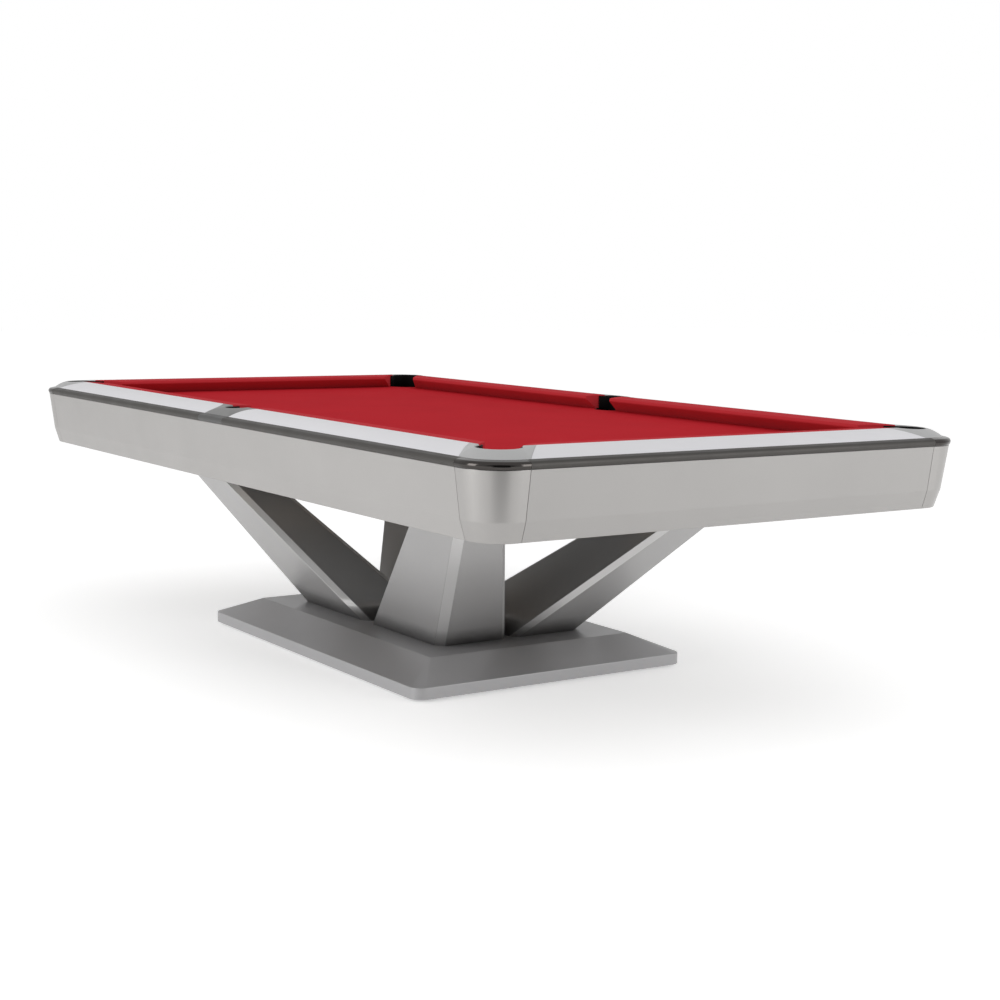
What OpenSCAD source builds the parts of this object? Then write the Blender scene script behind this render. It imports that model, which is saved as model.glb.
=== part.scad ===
// Pool table for nine-foot play, carried by four leaning legs on a hipped floor plate.
// Millimetres. X runs along the table, Y across it and Z up.
// The origin is on the floor, under the middle of the table.
// "Inset" is a distance inwards from the outermost edge of the rails.

/* [Playing area] */
// Length between the cushion noses
play_l = 2540; // [2000:10:3100]
// Width between the cushion noses
play_w = 1270; // [1000:10:1550]
// Height of the playing surface above the floor
bed_h = 743; // [600:1:900]
// Height of the cushion nose above the playing surface
nose_rise = 36.5; // [34:0.5:40]
// Distance between the cushion tips at a corner pocket
corner_mouth = 114; // [108:1:125]
// Distance between the cushion tips at a side pocket
side_mouth = 130; // [124:1:140]

/* [Rails] */
// Width of a rail, from the outermost edge to the cushion nose
rail_w = 170; // [150:1:200]
// Width of the cloth-covered cushion, from the feather strip to the nose
cushion_w = 70; // [50:1:80]
// Rise of the cushion top from the nose to the feather strip
cushion_rise = 10.5; // [7:0.5:16]
// Fall of the rail top from the feather strip to the edge trim
rail_fall = 23; // [10:1:30]
// Crown of the rail tops, above a straight slope
rail_crown = 3; // [0:0.5:5]
// Width of the bullnose edge trim
trim_w = 23; // [16:1:30]
// Height of the bullnose edge trim
trim_h = 22.5; // [20:0.5:30]
// Radius of the trim's bullnose
bullnose_r = 11; // [8:0.5:11]
// Radius of the table's corners in plan
corner_r = 110; // [80:1:120]

/* [Castings and pockets] */
// Distance from a corner to the ends of its casting, along the trim
casting_reach = 129; // [125:1:160]
// Step in a corner casting's outline, where its trim ends and its top begins
casting_step = 14; // [6:1:20]
// Distance that a corner casting's end runs on along the table as it crosses the rail top
casting_flare = 70; // [30:1:90]
// Half width of a side casting at the trim
side_half = 80; // [65:1:110]
// Inset of a corner pocket's centre, from both outer edges
corner_pocket_in = 120; // [115:1:130]
// Inset of a side pocket's centre
side_pocket_in = 105; // [100:1:112]
// Outer radius of a corner pocket cup
corner_cup_r = 68; // [64:1:72]
// Outer radius of a side pocket cup
side_cup_r = 58; // [55:1:60]
// Depth of a pocket cup below the playing surface
cup_depth = 131; // [90:1:140]
// Wall of a pocket liner
liner_wall = 4; // [2:0.5:5]
// How far a liner's ears run in from the feather strip, along the cushions' ends
ear_reach = 22; // [5:1:30]

/* [Bed] */
// Thickness of the slate
slate_t = 30; // [19:1:45]
// Thickness of the bed cloth
cloth_t = 1; // [0.5:0.1:2]
// Inset of the slate's edge
slate_in = 80; // [70:1:90]

/* [Cabinet] */
// Height of the aprons below the edge trim
apron_h = 174.5; // [120:0.5:200]
// Height of the lower facet of the aprons
apron_fold_h = 51; // [20:1:70]
// Thickness of the aprons, measured level
apron_t = 18; // [12:1:20]
// Inset of the apron's top edge
apron_in_top = 4; // [2:1:6]
// Inset of the fold between the two facets
apron_in_fold = 21; // [10:1:24]
// Inset of the apron's bottom edge
apron_in_foot = 37; // [22:1:45]

/* [Frame] */
// Width of the frame beams
beam_w = 90; // [60:1:110]
// Height of each of the two layers of frame beams
beam_h = 61; // [50:1:70]

/* [Legs] */
// Distance from the middle of the table to a leg's inner side at its foot, along X
foot_in_x = 12; // [5:1:60]
// Distance from the middle of the table to a leg's outer side at its foot, along X
foot_out_x = 418; // [340:1:420]
// Distance from the middle of the table to a leg's inner side at its foot, along Y
foot_in_y = 8; // [5:1:40]
// Distance from the middle of the table to a leg's outer side at its foot, along Y
foot_out_y = 262; // [215:1:320]
// Distance from the middle of the table to a leg's inner side at its top, along X
top_in_x = 698; // [500:1:720]
// Distance from the middle of the table to a leg's outer side at its top, along X
top_out_x = 933; // [880:1:980]
// Distance from the middle of the table to a leg's inner side at its top, along Y
top_in_y = 375; // [300:1:400]
// Distance from the middle of the table to a leg's outer side at its top, along Y
top_out_y = 526; // [500:1:560]
// Width of the flats along a leg's four edges, along X and along Y
leg_chamfer = 24; // [8:1:30]

/* [Floor plate] */
// Length of the floor plate
plate_l = 1304; // [1090:1:1600]
// Width of the floor plate
plate_w = 969; // [800:1:1200]
// Height of the floor plate's upright edge
plate_edge_h = 34; // [20:1:60]
// Height of the floor plate's slopes
plate_rise = 53; // [20:1:80]
// Width of the floor plate's slopes in plan
hip_run = 124; // [80:1:130]
// Radius of the floor plate's corners
plate_r = 38; // [10:1:60]

/* [Levelling feet] */
// Radius of a foot pad
pad_r = 30; // [20:1:40]
// Height of a foot pad
pad_h = 8; // [6:0.5:14]
// Radius of a foot's stud
stud_r = 8; // [6:0.5:10]
// Length of a foot's stud inside the floor plate
stud_l = 38; // [28:1:40]
// Inset of the feet from the edges of the floor plate
foot_inset = 60; // [45:1:90]

/* [Fasteners] */
// Radius of the leg bolts
bolt_r = 6; // [4:0.5:8]
// Radius of the slate screws
screw_r = 4; // [3:0.5:5]

/* [Hidden] */
$fn = 72;

over = 1;              // how far a cutting shape runs past what it cuts
tall = 2000;           // height of the plan shapes that trim others
seam = 0.4;            // gap between neighbouring rails, castings and trims
panel_seam = 2.4;      // gap between neighbouring aprons
slip = 0.3;            // clearance of a liner in its casting and of a foot under the plate
stud_slip = 0.08;      // radial clearance of a levelling stud in its bore
bolt_slip = 0.1;       // radial clearance of bolts and screws
notch_slip = 2;        // radial clearance of the cups in the slate
cup_gap = 28;          // gap between a corner pocket's notch and the nearest cross beam
cloth_gap = 4;         // gap between the bed cloth's edge and the rails
corner_cut = 42;       // turn of a cushion's end from the nose line, at a corner pocket
side_cut = 76;         // the same, at a side pocket
nose_round = 5;        // rounding of a cushion's nose
nose_crest = 6.5;      // height of the front edge of a cushion's top, above its nose
nose_h = 7;            // height of a cushion's nose, above its slanting underside
cushion_foot = 0.45;   // where the underside meets the cloth, as a share of the cushion's width
bullnose_sink = 2;     // how much of the bullnose's circle is cut off by the trim's flat underside
flare_r = 60;          // radius of the curve at a side casting's ends
flare_turn = 65;       // how far that curve turns
collar_rise = 14;      // height of a liner's collar above the trim
rim_drop = 0.5;        // depth of a cup's rim below the slate's top
ear_root = 3;          // how far an ear reaches back into its collar

half_l = play_l / 2 + rail_w;
half_w = play_w / 2 + rail_w;
nose_z = bed_h + nose_rise;
rail_top = nose_z + cushion_rise;
trim_top = rail_top - rail_fall;
trim_z = trim_top - trim_h;
slate_top = bed_h - cloth_t;
slate_z = slate_top - slate_t;
long_beam_z = slate_z - 2 * beam_h;
cross_beam_z = slate_z - beam_h;
feather = rail_w - cushion_w;
apron_z = trim_z - apron_h;
plate_top = pad_h + plate_edge_h + plate_rise;

// Where the cushions' ends start and stop: the tip at the nose line and the jaw at the feather strip.
corner_tip = rail_w + corner_mouth / sqrt(2);
corner_jaw = corner_tip - cushion_w / tan(corner_cut);
side_tip = side_mouth / 2;
side_jaw = side_tip - cushion_w / tan(side_cut);

// A casting's hole passes through both jaws.
corner_hole_r = norm([corner_jaw - corner_pocket_in, feather - corner_pocket_in]);
side_hole_r = norm([side_jaw, feather - side_pocket_in]);
corner_chord = (corner_jaw + feather - 2 * corner_pocket_in) / sqrt(2);
side_chord = feather - side_pocket_in;
liner_top = trim_top + collar_rise;
corner_notch_r = max(corner_cup_r, corner_hole_r) + notch_slip;
side_notch_r = max(side_cup_r, side_hole_r) + notch_slip;

beam_y = (top_in_y + top_out_y) / 2;
leg_beam_x = (top_in_x + top_out_x) / 2;
beam_end_x = half_l - corner_pocket_in - corner_notch_r - cup_gap;
slate_x = half_l - slate_in;
slate_y = half_w - slate_in;
seam_x = round(slate_x / 3);

head = 2;              // radius of a bolt's or screw's head, in shank radii
bolt_spread = 55;      // half the distance between the two bolts at a leg's end
bolt_seat = 14;        // depth of the bolt heads in the floor plate
bolt_into_leg = 55;    // how far the foot bolts reach into a leg
bolt_below_top = 30;   // how far the top bolts reach down into a leg
bolt_into_beam = 45;   // how far the top bolts reach up into a frame beam
foot_bolt_off = [45, 10]; // how far the foot bolts stand off the middle of a leg's foot, as the leg leans
foot_bolt_x = (foot_in_x + foot_out_x) / 2 + foot_bolt_off[0];
foot_bolt_y = (foot_in_y + foot_out_y) / 2 + foot_bolt_off[1];
screw_off = 22;        // distance of the slate screws from a slate's seam
screw_in = 120;        // distance of the outer slate screws from the slates' long edges
screw_sink = 0.5;      // depth of the screw heads below the slate's top
screw_into_beam = 30;  // how far the slate screws reach into a cross beam
screw_xs = [seam_x - screw_off, seam_x + screw_off, beam_end_x - beam_w / 2];
screw_ys = [slate_y / 4, slate_y - screw_in];

// ---- helpers ----

function arc(c, r, a0, a1, n) = [for (i = [0:n]) let (a = a0 + (a1 - a0) * i / n) c + r * [cos(a), sin(a)]];

module mirror_if(on, v) {
    if (on) mirror(v) children();
    else children();
}

// Children are drawn at the front right; sx and sy send them to the other corners or sides.
module place(sx, sy) {
    mirror_if(sx < 0, [1, 0, 0]) mirror_if(sy > 0, [0, 1, 0]) children();
}

// A section drawn as (inset, height), run along the front edge from x0 to x1.
module run_x(x0, x1) {
    translate([x0, -half_w, 0]) rotate([90, 0, 90]) linear_extrude(x1 - x0) children();
}

// The same section, run along the right-hand end from y0 to y1.
module run_y(y0, y1) {
    translate([half_l, y1, 0]) mirror([1, 0, 0]) rotate([90, 0, 0]) linear_extrude(y1 - y0) children();
}

// The same section, turned round the front right corner.
module run_corner(points) {
    translate([half_l - corner_r, -half_w + corner_r, 0]) rotate([0, 0, -90])
        rotate_extrude(angle = 90) polygon([for (p = points) [corner_r - p[0], p[1]]]);
}

// Plan shapes, drawn as (x, inset from the front) or (inset from the right-hand end, y).
module front_plan(points) {
    translate([0, -half_w, 0]) linear_extrude(tall) polygon(points);
}

module end_plan(points) {
    translate([half_l, 0, 0]) mirror([1, 0, 0]) linear_extrude(tall) polygon(points);
}

// ---- sections, as (inset, height) ----

function top_at(inset) = let (t = min(1, (inset - trim_w) / (feather - trim_w)))
    trim_top + rail_fall * t + rail_crown * 4 * t * (1 - t);

crest = [for (i = [0:6]) let (u = trim_w + (feather - trim_w) * i / 6) [u, top_at(u)]];
bullnose_c = [bullnose_r, trim_z + bullnose_r - bullnose_sink];
trim_nose = arc(bullnose_c, bullnose_r, 180 + asin(1 - bullnose_sink / bullnose_r), 105, 10);
trim_section = concat([[trim_w, trim_z]], trim_nose, [[trim_w, trim_top]]);
rail_section = concat([[trim_w, slate_top]], crest, [[feather, slate_top]]);
casting_section = concat([[feather, trim_z]], trim_nose, crest);
corner_section = concat([[corner_r, trim_z]], trim_nose, [for (p = crest) if (p[0] < corner_r) p],
    [[corner_r, top_at(corner_r)]]);
cushion_section = [
    [feather, bed_h], [feather, rail_top],
    [rail_w - nose_round, nose_z + nose_crest], [rail_w - nose_round / 5, nose_z + nose_crest / 2],
    [rail_w, nose_z], [rail_w, nose_z - nose_h + nose_round], [rail_w - nose_round, nose_z - nose_h],
    [feather + cushion_w * cushion_foot, bed_h]
];
apron_section = [
    [apron_in_top, trim_z], [apron_in_fold, apron_z + apron_fold_h], [apron_in_foot, apron_z],
    [apron_in_foot + apron_t, apron_z], [apron_in_fold + apron_t, apron_z + apron_fold_h],
    [apron_in_top + apron_t, trim_z]
];

// ---- edges in plan: how far along the rail a piece starts, at a given inset ----

function corner_edge(inset) = casting_reach + casting_step
    + casting_flare * (inset - trim_w) / (feather - trim_w);
function corner_jaw_at(inset) = corner_jaw + (inset - feather) / tan(corner_cut);
function side_jaw_at(inset) = side_jaw + (inset - feather) / tan(side_cut);

// The side casting's edge: straight across the outer part of the rail, then a curve that opens out.
flare_in = feather - flare_r * sin(flare_turn);
function side_edge(gap) = concat(
    [[side_half + gap, -over]],
    [for (p = arc([side_half + flare_r, flare_in], flare_r, 180, 180 - flare_turn, 8)) p + [gap, 0]],
    [[side_half + gap + flare_r * (1 - cos(flare_turn)) + over * tan(flare_turn), feather + over]]
);

// ---- floor plate, legs and feet ----

foot_x = plate_l / 2 - foot_inset;
foot_y = plate_w / 2 - foot_inset;
hip_r = 4;             // radius of the corners of the raised middle
bore_spare = 4;        // how much deeper a foot's bore is than its stud
socket_r = 5;          // radius of a stud's swivel end
socket_z = 3;          // height of the socket's floor in the pad

module four(x, y) {
    for (sx = [-1, 1], sy = [-1, 1]) translate([sx * x, sy * y, 0]) children();
}

module base_plate() {
    color("#8f8c88") difference() {
        hull() {
            translate([0, 0, pad_h]) four(plate_l / 2 - plate_r, plate_w / 2 - plate_r)
                cylinder(r = plate_r, h = plate_edge_h, $fn = 48);
            translate([0, 0, pad_h]) four(plate_l / 2 - hip_run - hip_r, plate_w / 2 - hip_run - hip_r)
                cylinder(r = hip_r, h = plate_edge_h + plate_rise, $fn = 24);
        }
        four(foot_x, foot_y) translate([0, 0, pad_h - over])
            cylinder(r = stud_r + stud_slip, h = stud_l + bore_spare + over);
        foot_bolt_places() {
            translate([0, 0, pad_h - over]) cylinder(r = bolt_r + bolt_slip, h = tall);
            translate([0, 0, pad_h - over]) cylinder(r = head * bolt_r + over, h = bolt_seat + over);
        }
    }
}

function leg_ring(in_x, out_x, in_y, out_y, z) = [
    [in_x + leg_chamfer, -in_y, z], [in_x, -in_y - leg_chamfer, z],
    [in_x, -out_y + leg_chamfer, z], [in_x + leg_chamfer, -out_y, z],
    [out_x - leg_chamfer, -out_y, z], [out_x, -out_y + leg_chamfer, z],
    [out_x, -in_y - leg_chamfer, z], [out_x - leg_chamfer, -in_y, z]
];

module foot_bolt_places() {
    for (sx = [-1, 1], sy = [-1, 1], d = [-1, 1])
        translate([sx * (foot_bolt_x + d * bolt_spread), sy * foot_bolt_y, 0]) children();
}

module top_bolt_places() {
    for (sx = [-1, 1], sy = [-1, 1], d = [-1, 1])
        translate([sx * (leg_beam_x + d * bolt_spread), sy * beam_y, 0]) children();
}

// A leg tapers and leans out towards its corner of the table.
module leg(sx, sy) {
    color("#a8a5a0") difference() {
        place(sx, sy) polyhedron(
            points = concat(
                leg_ring(foot_in_x, foot_out_x, foot_in_y, foot_out_y, plate_top),
                leg_ring(top_in_x, top_out_x, top_in_y, top_out_y, long_beam_z)),
            faces = concat(
                [[7, 6, 5, 4, 3, 2, 1, 0], [8, 9, 10, 11, 12, 13, 14, 15]],
                [for (i = [0:7]) let (j = (i + 1) % 8) [i, j, j + 8, i + 8]]));
        foot_bolt_places() translate([0, 0, plate_top - over])
            cylinder(r = bolt_r + bolt_slip, h = bolt_into_leg + over + bolt_slip);
        top_bolt_places() translate([0, 0, long_beam_z - bolt_below_top - bolt_slip])
            cylinder(r = bolt_r + bolt_slip, h = bolt_below_top + over + bolt_slip);
    }
}

module leg_bolts() {
    color("#4a4a4c") {
        foot_bolt_places() {
            translate([0, 0, pad_h + bolt_seat - bolt_r]) cylinder(r = head * bolt_r, h = bolt_r);
            translate([0, 0, pad_h + bolt_seat])
                cylinder(r = bolt_r, h = plate_top + bolt_into_leg - pad_h - bolt_seat);
        }
        top_bolt_places() translate([0, 0, long_beam_z - bolt_below_top])
            cylinder(r = bolt_r, h = bolt_below_top + bolt_into_beam);
    }
}

module foot_pad(sx, sy) {
    color("#2b2b2d") place(sx, sy) translate([foot_x, -foot_y, 0]) difference() {
        cylinder(r = pad_r, h = pad_h - slip);
        translate([0, 0, socket_z]) cylinder(r = socket_r + stud_slip, h = pad_h);
    }
}

module foot_stud(sx, sy) {
    color("#b0b0b2") place(sx, sy) translate([foot_x, -foot_y, 0]) {
        translate([0, 0, socket_z + slip]) cylinder(r = socket_r, h = pad_h);
        translate([0, 0, pad_h]) cylinder(r = stud_r, h = stud_l);
    }
}

// ---- frame ----

module frame_beam(sy) {
    color("#b08a5a") difference() {
        translate([-beam_end_x, sy * beam_y - beam_w / 2, long_beam_z])
            cube([2 * beam_end_x, beam_w, beam_h]);
        top_bolt_places() translate([0, 0, long_beam_z - over])
            cylinder(r = bolt_r + bolt_slip, h = bolt_into_beam + over + bolt_slip);
    }
}

module screw_places() {
    for (sx = [-1, 1], sy = [-1, 1], x = screw_xs, y = screw_ys) translate([sx * x, sy * y, 0]) children();
}

module cross_beams() {
    color("#a37d4e") difference() {
        for (sx = [-1, 1], x = [seam_x, leg_beam_x, beam_end_x - beam_w / 2])
            translate([sx * x - beam_w / 2, -slate_y, cross_beam_z]) cube([beam_w, 2 * slate_y, beam_h]);
        screw_places() translate([0, 0, slate_z - screw_into_beam - bolt_slip])
            cylinder(r = screw_r + bolt_slip, h = screw_into_beam + over + bolt_slip);
    }
}

// ---- bed ----

module pocket_cuts() {
    for (sx = [-1, 1], sy = [-1, 1])
        translate([sx * (half_l - corner_pocket_in), sy * (half_w - corner_pocket_in), 0])
            cylinder(r = corner_notch_r, h = tall);
    for (sy = [-1, 1]) translate([0, sy * (half_w - side_pocket_in), 0]) cylinder(r = side_notch_r, h = tall);
}

module slate(x0, x1) {
    color("#55585c") difference() {
        translate([x0, -slate_y, slate_z]) cube([x1 - x0, 2 * slate_y, slate_t]);
        pocket_cuts();
        screw_places() {
            translate([0, 0, slate_z - over]) cylinder(r = screw_r + bolt_slip, h = slate_t + 2 * over);
            translate([0, 0, slate_top - screw_r - 2 * screw_sink])
                cylinder(r = head * screw_r + bolt_slip, h = screw_r + 2 * screw_sink + over);
        }
    }
}

module slate_screws() {
    color("#8a8a8c") screw_places() {
        translate([0, 0, slate_z - screw_into_beam])
            cylinder(r = screw_r, h = slate_t + screw_into_beam - screw_r);
        translate([0, 0, slate_top - screw_r - screw_sink]) cylinder(r = head * screw_r, h = screw_r);
    }
}

module bed_cloth() {
    cloth_x = half_l - feather - cloth_gap;
    cloth_y = half_w - feather - cloth_gap;
    color("#b02830") difference() {
        translate([-cloth_x, -cloth_y, slate_top]) cube([2 * cloth_x, 2 * cloth_y, cloth_t]);
        pocket_cuts();
    }
}

// ---- rails, cushions and trims ----

module side_rail(sx, sy) {
    far = half_l - seam;
    color("#e6e6ea") place(sx, sy) intersection() {
        run_x(side_half, half_l - casting_reach) polygon(rail_section);
        front_plan(concat(side_edge(seam), [
            [far - corner_edge(feather + over), feather + over],
            [far - corner_edge(trim_w - over), trim_w - over],
            [far - corner_edge(trim_w - over), -over]
        ]));
    }
}

module end_rail(sx) {
    far = half_w - seam;
    a = far - corner_edge(feather + over);
    b = far - corner_edge(trim_w - over);
    color("#e6e6ea") place(sx, -1) intersection() {
        run_y(-half_w + casting_reach, half_w - casting_reach) polygon(rail_section);
        end_plan([[trim_w - over, -b], [feather + over, -a], [feather + over, a], [trim_w - over, b]]);
    }
}

module side_cushion(sx, sy) {
    u0 = feather - over;
    u1 = rail_w + over;
    color("#c01c26") place(sx, sy) intersection() {
        run_x(0, half_l) polygon(cushion_section);
        front_plan([[side_jaw_at(u0), u0], [side_jaw_at(u1), u1],
            [half_l - corner_jaw_at(u1), u1], [half_l - corner_jaw_at(u0), u0]]);
    }
}

module end_cushion(sx) {
    u0 = feather - over;
    u1 = rail_w + over;
    a = half_w - corner_jaw_at(u0);
    b = half_w - corner_jaw_at(u1);
    color("#c01c26") place(sx, -1) intersection() {
        run_y(-half_w, half_w) polygon(cushion_section);
        end_plan([[u0, -a], [u1, -b], [u1, b], [u0, a]]);
    }
}

module side_trim(sx, sy) {
    color("#5c5856") place(sx, sy)
        run_x(side_half + seam, half_l - casting_reach - seam) polygon(trim_section);
}

module end_trim(sx) {
    reach = half_w - casting_reach - seam;
    color("#5c5856") place(sx, -1) run_y(-reach, reach) polygon(trim_section);
}

// ---- castings and liners ----

// The corner casting's plan, as insets from the right-hand end and from the front.
corner_plan = [
    [-over, -over], [casting_reach, -over], [casting_reach, trim_w], [corner_edge(trim_w), trim_w],
    [corner_edge(feather), feather], [corner_edge(feather), feather + over], [feather + over, feather + over],
    [feather + over, corner_edge(feather)], [feather, corner_edge(feather)], [trim_w, corner_edge(trim_w)],
    [trim_w, casting_reach], [-over, casting_reach]
];

module corner_casting(sx, sy) {
    long = corner_edge(feather);
    color("#a2a3a4") place(sx, sy) difference() {
        intersection() {
            union() {
                run_x(half_l - long, half_l - corner_r) polygon(casting_section);
                run_y(-half_w + corner_r, -half_w + long) polygon(casting_section);
                run_corner(corner_section);
            }
            translate([half_l, -half_w, 0]) mirror([1, 0, 0]) linear_extrude(tall) polygon(corner_plan);
        }
        translate([half_l - corner_pocket_in, -half_w + corner_pocket_in, 0])
            cylinder(r = corner_hole_r, h = tall);
    }
}

module side_casting(sy) {
    edge = side_edge(0);
    color("#a2a3a4") place(1, sy) difference() {
        intersection() {
            run_x(-half_l / 2, half_l / 2) polygon(casting_section);
            front_plan(concat(edge, [for (i = [len(edge) - 1:-1:0]) [-edge[i][0], edge[i][1]]]));
        }
        translate([0, -half_w + side_pocket_in, 0]) cylinder(r = side_hole_r, h = tall);
    }
}

// A liner is a cup under the bed, a collar that stands in the casting's hole, and two ears that
// run on from the collar along the cushions' ends. Its mouth faces +X here, and spreads by an angle.
module liner(hole_r, cup_r, chord, spread, ear_l) {
    cup_z = bed_h - cup_depth;
    rim_z = slate_top - rim_drop;
    inner = hole_r - slip - liner_wall;
    color("#1c1c1e") {
        difference() {
            union() {
                translate([0, 0, cup_z]) cylinder(r = cup_r, h = rim_z - cup_z);
                translate([0, 0, rim_z - liner_wall])
                    cylinder(r = hole_r - slip, h = liner_top - rim_z + liner_wall);
            }
            translate([0, 0, cup_z + liner_wall])
                cylinder(r = cup_r - liner_wall, h = rim_z - 2 * liner_wall - cup_z);
            translate([0, 0, cup_z + liner_wall]) cylinder(r = inner, h = tall);
            translate([chord, -tall / 2, rim_z]) cube([tall, tall, tall]);
            intersection() {
                translate([0, 0, cup_z + liner_wall]) cylinder(r = cup_r - liner_wall, h = tall);
                translate([chord, -tall / 2, cup_z]) cube([tall, tall, tall]);
            }
        }
        for (side = [-1, 1]) mirror_if(side < 0, [0, 1, 0])
            translate([chord, sqrt(hole_r * hole_r - chord * chord), bed_h + slip]) rotate([0, 0, spread])
                translate([-ear_root, -slip - liner_wall, 0])
                    cube([ear_l + ear_root, liner_wall, liner_top - bed_h - slip]);
    }
}

module corner_liner(sx, sy) {
    place(sx, sy) translate([half_l - corner_pocket_in, -half_w + corner_pocket_in, 0]) rotate([0, 0, 135])
        liner(corner_hole_r, corner_cup_r, corner_chord, 45 - corner_cut, ear_reach / sin(corner_cut));
}

module side_liner(sy) {
    place(1, sy) translate([0, -half_w + side_pocket_in, 0]) rotate([0, 0, 90])
        liner(side_hole_r, side_cup_r, side_chord, 90 - side_cut, ear_reach / sin(side_cut));
}

// ---- aprons ----

module side_apron(sy) {
    reach = half_l - casting_reach - panel_seam;
    color("#bebcba") place(1, sy) run_x(-reach, reach) polygon(apron_section);
}

module end_apron(sx) {
    reach = half_w - casting_reach - panel_seam;
    color("#bebcba") place(sx, -1) run_y(-reach, reach) polygon(apron_section);
}

module apron_corner(sx, sy) {
    color("#b4b2b0") place(sx, sy) union() {
        run_x(half_l - casting_reach, half_l - corner_r) polygon(apron_section);
        run_y(-half_w + corner_r, -half_w + casting_reach) polygon(apron_section);
        run_corner(apron_section);
    }
}

base_plate();
leg(-1, -1);  // leg_front_left
leg(1, -1);  // leg_front_right
leg(-1, 1);  // leg_back_left
leg(1, 1);  // leg_back_right
leg_bolts();
foot_pad(-1, -1);  // foot_pad_front_left
foot_pad(1, -1);  // foot_pad_front_right
foot_pad(-1, 1);  // foot_pad_back_left
foot_pad(1, 1);  // foot_pad_back_right
foot_stud(-1, -1);  // foot_stud_front_left
foot_stud(1, -1);  // foot_stud_front_right
foot_stud(-1, 1);  // foot_stud_back_left
foot_stud(1, 1);  // foot_stud_back_right
frame_beam(-1);  // frame_beam_front
frame_beam(1);  // frame_beam_back
cross_beams();
slate(-slate_x, -seam_x);  // slate_left
slate(-seam_x, seam_x);  // slate_middle
slate(seam_x, slate_x);  // slate_right
slate_screws();
bed_cloth();
side_rail(-1, -1);  // rail_front_left
side_rail(1, -1);  // rail_front_right
side_rail(-1, 1);  // rail_back_left
side_rail(1, 1);  // rail_back_right
end_rail(-1);  // rail_left_end
end_rail(1);  // rail_right_end
side_cushion(-1, -1);  // cushion_front_left
side_cushion(1, -1);  // cushion_front_right
side_cushion(-1, 1);  // cushion_back_left
side_cushion(1, 1);  // cushion_back_right
end_cushion(-1);  // cushion_left_end
end_cushion(1);  // cushion_right_end
side_trim(-1, -1);  // trim_front_left
side_trim(1, -1);  // trim_front_right
side_trim(-1, 1);  // trim_back_left
side_trim(1, 1);  // trim_back_right
end_trim(-1);  // trim_left_end
end_trim(1);  // trim_right_end
corner_casting(-1, -1);  // corner_casting_front_left
corner_casting(1, -1);  // corner_casting_front_right
corner_casting(-1, 1);  // corner_casting_back_left
corner_casting(1, 1);  // corner_casting_back_right
side_casting(-1);  // side_casting_front
side_casting(1);  // side_casting_back
corner_liner(-1, -1);  // liner_front_left
corner_liner(1, -1);  // liner_front_right
corner_liner(-1, 1);  // liner_back_left
corner_liner(1, 1);  // liner_back_right
side_liner(-1);  // liner_side_front
side_liner(1);  // liner_side_back
side_apron(-1);  // apron_front
side_apron(1);  // apron_back
end_apron(-1);  // apron_left_end
end_apron(1);  // apron_right_end
apron_corner(-1, -1);  // apron_corner_front_left
apron_corner(1, -1);  // apron_corner_front_right
apron_corner(-1, 1);  // apron_corner_back_left
apron_corner(1, 1);  // apron_corner_back_right
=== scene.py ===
"""Pool table: the looks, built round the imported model.

Metres. +X runs along the table, +Y across it and +Z up; the origin is on the floor under its middle.
"Inset" is a distance inwards from the outermost edge of the rails, and a "section" is a list of
(inset, height) points that is carried along a rail, a corner or an end.
"""

import math

import bmesh
import bpy
import numpy as np
from mathutils import Matrix, Vector


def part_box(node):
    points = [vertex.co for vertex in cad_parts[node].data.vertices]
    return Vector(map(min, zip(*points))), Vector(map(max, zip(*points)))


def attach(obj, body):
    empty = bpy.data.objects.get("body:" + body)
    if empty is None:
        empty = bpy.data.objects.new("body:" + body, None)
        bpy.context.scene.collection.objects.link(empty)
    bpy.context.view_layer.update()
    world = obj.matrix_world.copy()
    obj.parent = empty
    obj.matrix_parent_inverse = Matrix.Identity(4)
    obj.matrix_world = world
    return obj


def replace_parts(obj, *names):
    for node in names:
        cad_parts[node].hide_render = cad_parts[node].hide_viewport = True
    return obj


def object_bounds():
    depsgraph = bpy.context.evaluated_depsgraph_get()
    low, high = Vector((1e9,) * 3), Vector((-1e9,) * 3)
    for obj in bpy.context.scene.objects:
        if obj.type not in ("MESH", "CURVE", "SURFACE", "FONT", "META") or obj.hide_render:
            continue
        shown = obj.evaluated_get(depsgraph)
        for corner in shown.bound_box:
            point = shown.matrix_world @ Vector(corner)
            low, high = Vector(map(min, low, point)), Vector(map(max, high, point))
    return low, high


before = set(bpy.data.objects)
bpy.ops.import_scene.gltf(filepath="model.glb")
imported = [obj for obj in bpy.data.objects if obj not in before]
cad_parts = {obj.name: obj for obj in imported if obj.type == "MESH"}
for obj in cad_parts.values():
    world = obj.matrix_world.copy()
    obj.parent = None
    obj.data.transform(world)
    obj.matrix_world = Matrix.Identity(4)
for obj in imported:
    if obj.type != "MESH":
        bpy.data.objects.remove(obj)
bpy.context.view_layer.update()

MM = 0.001
CORNERS = {"front_left": (-1, -1), "front_right": (1, -1), "back_left": (-1, 1), "back_right": (1, 1)}

# ---- sizes, from the frame ----

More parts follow.
